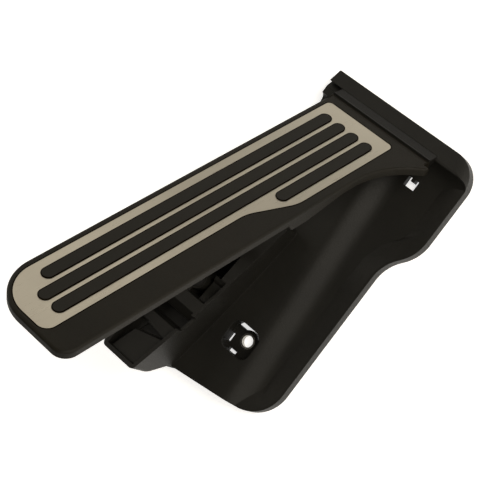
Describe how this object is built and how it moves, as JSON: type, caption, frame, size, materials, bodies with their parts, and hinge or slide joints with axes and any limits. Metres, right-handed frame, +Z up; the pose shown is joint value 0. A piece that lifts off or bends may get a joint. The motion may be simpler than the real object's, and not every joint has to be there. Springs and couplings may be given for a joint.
{
  "type": "accelerator pedal sensor",
  "caption": "Floor hinged accelerator pedal with a ribbed metal and rubber tread, moulded base, spring lever and contactless rotary position sensor.",
  "frame": {"origin": "axis of the floor bolt at the underside of the base", "axes": "+X to the driver's right, +Y from the heel hinge towards the toe end, +Z up"},
  "size_m": [0.1181, 0.1995, 0.1854],
  "materials": {
    "base_plastic": "fine moulded grain, matt",
    "hinge_plastic": "satin, flexible polypropylene",
    "pad_plastic": "fine grain, satin",
    "satin_steel": "satin stainless sheet, warm grey",
    "tread_rubber": "matt black rubber",
    "lever_plastic": "glass filled nylon, satin",
    "slide_plastic": "natural acetal",
    "bush_plastic": "natural acetal",
    "ground_steel": "ground",
    "spring_steel": "drawn wire, lightly oiled",
    "plated_steel": "zinc plated",
    "stop_rubber": "matt",
    "seal_rubber": "smooth",
    "cover_plastic": "glass filled, matt",
    "screw_steel": "zinc plated",
    "board_laminate": "green solder resist",
    "chip_plastic": "moulded epoxy",
    "contact_metal": "tin over brass",
    "magnet": "sintered, matt grey"
  },
  "bodies": {
    "base": {"base_housing": "base_plastic", "hinge_strip": "hinge_plastic", "bolt_sleeve": "plated_steel", "shaft_bush_left": "bush_plastic", "shaft_bush_right": "bush_plastic", "return_spring_left": "spring_steel", "return_spring_right": "spring_steel", "bump_stop": "stop_rubber", "sensor_cover": "cover_plastic", "cover_seal": "seal_rubber", "cover_screws": "screw_steel", "circuit_board": "board_laminate", "sensor_chip": "chip_plastic", "connector_pins": "contact_metal"},
    "pad": {"pedal_pad": "pad_plastic", "tread_plate": "satin_steel", "rubber_mat": "tread_rubber"},
    "lever": {"lever_arm": "lever_plastic", "lever_shoe": "slide_plastic", "lever_shaft": "ground_steel", "magnet_holder": "lever_plastic", "rotor_magnet": "magnet"}
  },
  "joints": [
    {"name": "pad_hinge", "type": "hinge", "parent": "base", "child": "pad", "pos_m": [0.0126, -0.137, 0.016], "axis": [-1, 0, 0], "range_deg": [0, 15], "stiffness_Nm_per_rad": 3, "springref_deg": -28.65},
    {"name": "lever_pivot", "type": "hinge", "parent": "base", "child": "lever", "pos_m": [0.0345, -0.042, 0.017], "axis": [-1, 0, 0], "range_deg": [0, 33], "deforming": ["return_spring_left", "return_spring_right"]}
  ],
  "couplings": [
    {"joint": "lever_pivot", "follows": "pad_hinge", "ratio": 2.2}
  ]
}
